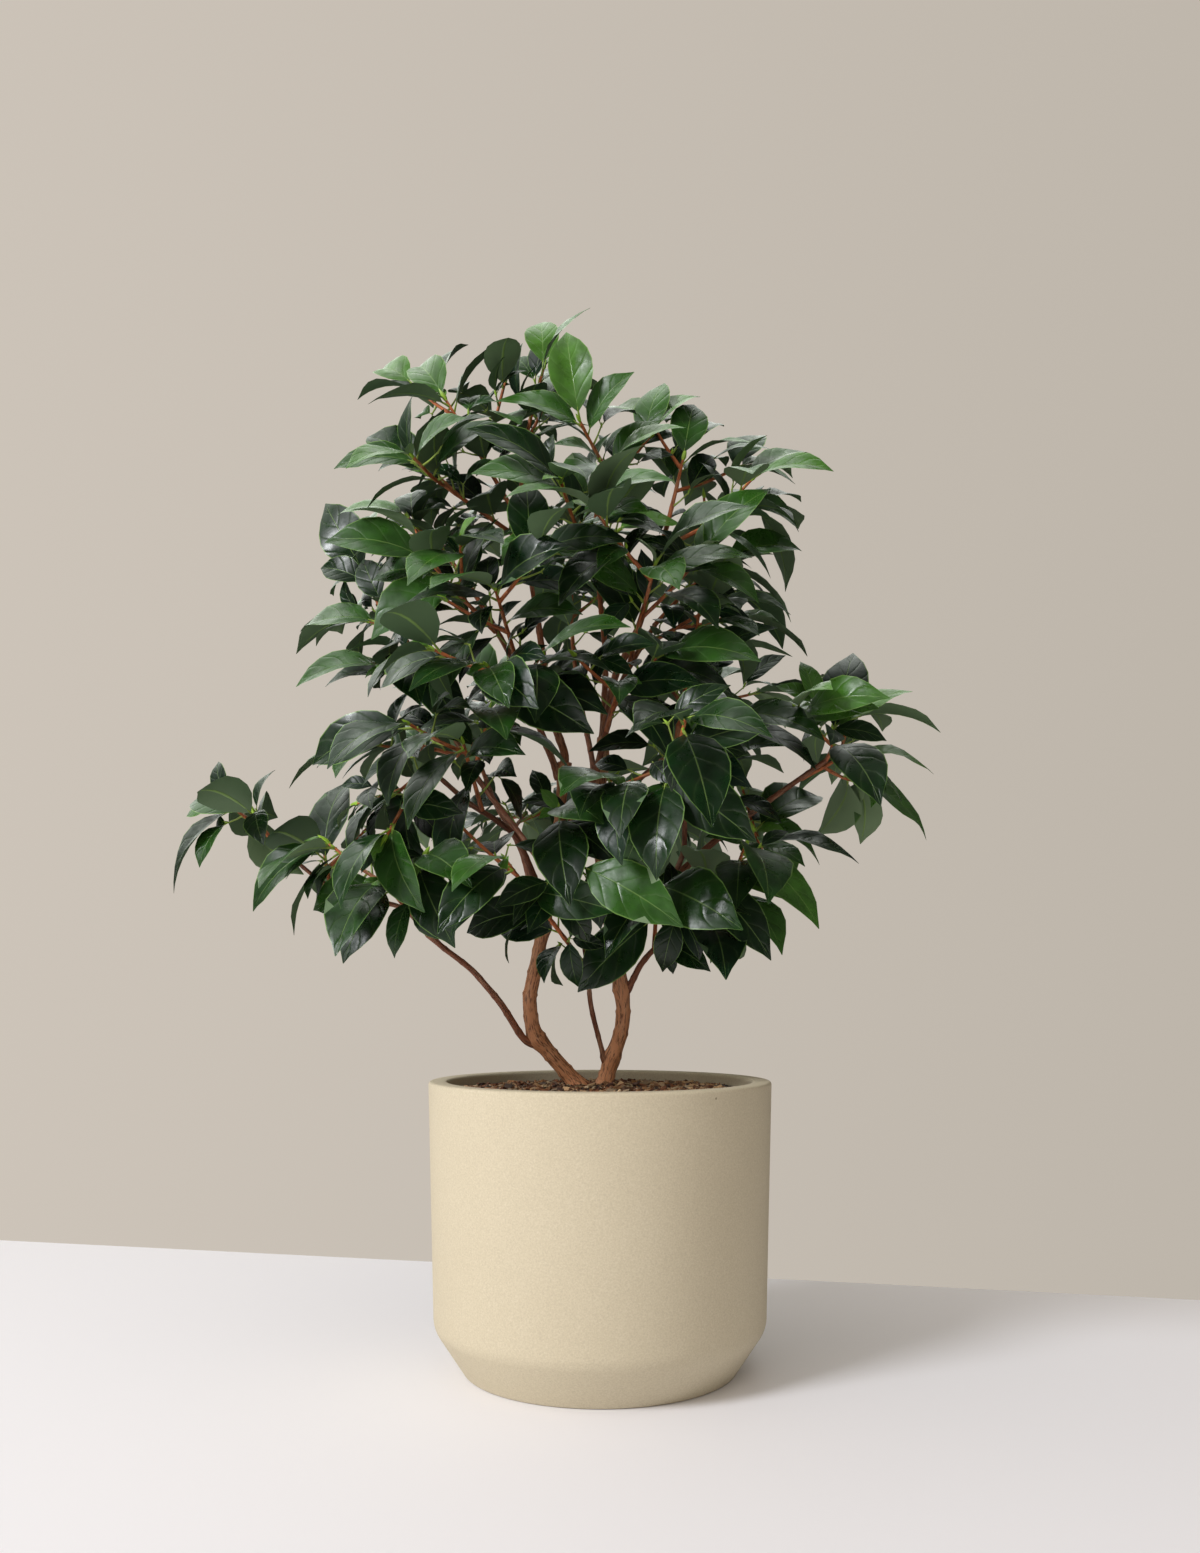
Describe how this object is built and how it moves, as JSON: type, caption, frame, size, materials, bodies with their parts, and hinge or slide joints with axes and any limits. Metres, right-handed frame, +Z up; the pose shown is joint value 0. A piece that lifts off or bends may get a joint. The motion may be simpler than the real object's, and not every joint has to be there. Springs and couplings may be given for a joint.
{
  "type": "potted camellia shrub",
  "caption": "Young camellia shrub with leaning twin trunks, open boughs and glossy evergreen leaves, growing in a round cast stone pot with a bevelled foot.",
  "frame": {"origin": "centre of the pot's flat underside, on the ground", "axes": "+Z up along the pot's axis; the plant's face is toward -Y, with the longer low bough to -X"},
  "size_m": [0.5569, 0.4283, 0.7503],
  "materials": {
    "cast_stone": "matte",
    "potting_soil": "matte",
    "tan_bark": "matte",
    "red_bark": "matte",
    "foliage": "satin"
  },
  "bodies": {
    "root": {"back_crown": "foliage", "back_left_bough": "tan_bark", "back_left_high": "foliage", "back_left_low": "foliage", "back_middle_bough": "tan_bark", "back_right_bough": "tan_bark", "back_right_high": "foliage", "back_right_low": "foliage", "centre_buds": "foliage", "centre_front": "foliage", "centre_heart": "foliage", "centre_high": "foliage", "centre_leader": "tan_bark", "centre_low": "foliage", "centre_stem": "tan_bark", "cross_bough": "tan_bark", "crown_front": "foliage", "crown_left": "foliage", "crown_middle": "foliage", "crown_shoulder": "foliage", "crown_top": "foliage", "far_left_bough": "tan_bark", "far_left_middle": "foliage", "far_left_tip": "foliage", "far_right": "foliage", "far_right_top": "foliage", "left_bright": "foliage", "left_elbow": "foliage", "left_front": "foliage", "left_leader": "tan_bark", "left_low_bough": "tan_bark", "left_middle_bough": "tan_bark", "left_rising_bough": "tan_bark", "left_shoulder": "foliage", "left_side": "foliage", "left_skirt": "foliage", "left_trunk": "tan_bark", "left_waist": "foliage", "low_left": "foliage", "middle_leader": "tan_bark", "pot": "cast_stone", "right_bough": "red_bark", "right_front_high": "foliage", "right_front_low": "foliage", "right_inner_bough": "red_bark", "right_leader": "red_bark", "right_low_bough": "red_bark", "right_low_front": "foliage", "right_low_side": "foliage", "right_low_tip": "foliage", "right_middle_bough": "red_bark", "right_peak": "foliage", "right_shoulder": "foliage", "right_side": "foliage", "right_sprig": "red_bark", "right_trunk": "red_bark", "right_upper_side": "foliage", "right_waist": "foliage", "soil": "potting_soil", "upper_left": "foliage"}
  },
  "joints": []
}
